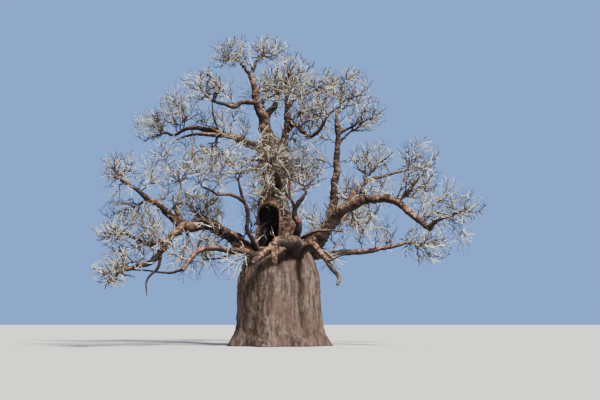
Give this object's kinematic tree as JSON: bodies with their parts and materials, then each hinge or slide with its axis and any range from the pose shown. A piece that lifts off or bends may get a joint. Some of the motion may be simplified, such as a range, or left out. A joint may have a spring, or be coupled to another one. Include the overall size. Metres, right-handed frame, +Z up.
{
  "type": "whole bare baobab tree",
  "caption": "Whole leafless baobab: swollen trunk with root flare and an arched hollow, forking boughs and masses of bare twigs, rooted on a flat ground face.",
  "frame": {"origin": "on the ground, under the middle of the trunk's flat cut", "axes": "+Z up the trunk; +X to the right of the view of the picture, along the widest spread; -Y towards the viewer"},
  "size_m": [25.3064, 18.7091, 22.2764],
  "materials": {
    "trunk_bark": "folded grey-brown bark, rough",
    "limb_bark": "smooth red-brown bark weathered to grey",
    "bare_twigs": "pale silver-grey twigs, matt"
  },
  "bodies": {
    "root": {"back_centre_bough": "limb_bark", "back_centre_twigs": "bare_twigs", "back_left_bough": "limb_bark", "back_left_twigs": "bare_twigs", "back_right_bough": "limb_bark", "back_right_twigs": "bare_twigs", "centre_twigs": "bare_twigs", "centre_upright_limb": "limb_bark", "crown_back_bough": "limb_bark", "crown_back_twigs": "bare_twigs", "crown_centre_stem": "limb_bark", "crown_centre_twigs": "bare_twigs", "crown_left_stem": "limb_bark", "crown_left_twigs": "bare_twigs", "crown_right_bough": "limb_bark", "crown_right_twigs": "bare_twigs", "crown_top_twigs": "bare_twigs", "front_bough": "limb_bark", "front_high_bough": "limb_bark", "front_high_twigs": "bare_twigs", "front_right_bough": "limb_bark", "front_stub": "limb_bark", "inner_right_twigs": "bare_twigs", "left_dropping_bough": "limb_bark", "left_fan_twigs": "bare_twigs", "left_fork_limb": "limb_bark", "left_great_bough": "limb_bark", "left_low_twigs": "bare_twigs", "left_lower_bough": "limb_bark", "left_middle_limb": "limb_bark", "left_middle_twigs": "bare_twigs", "left_reach_twigs": "bare_twigs", "left_reaching_limb": "limb_bark", "left_rising_bough": "limb_bark", "left_shoulder_twigs": "bare_twigs", "left_tip_twigs": "bare_twigs", "left_upright_limb": "limb_bark", "left_upright_twigs": "bare_twigs", "level_bough": "limb_bark", "level_twigs": "bare_twigs", "right_great_bough": "limb_bark", "right_high_limb": "limb_bark", "right_inner_twigs": "bare_twigs", "right_low_bough": "limb_bark", "right_low_twigs": "bare_twigs", "right_reaching_bough": "limb_bark", "right_riser_twigs": "bare_twigs", "right_tip_twigs": "bare_twigs", "right_upper_bough": "limb_bark", "right_upper_twigs": "bare_twigs", "tall_right_stem": "limb_bark", "tall_side_twigs": "bare_twigs", "tall_top_twigs": "bare_twigs", "top_left_limb": "limb_bark", "top_right_limb": "limb_bark", "trunk": "trunk_bark", "upper_left_bough": "limb_bark", "upper_left_outer_twigs": "bare_twigs", "upper_left_top_twigs": "bare_twigs", "upper_left_under_twigs": "bare_twigs"}
  },
  "joints": []
}
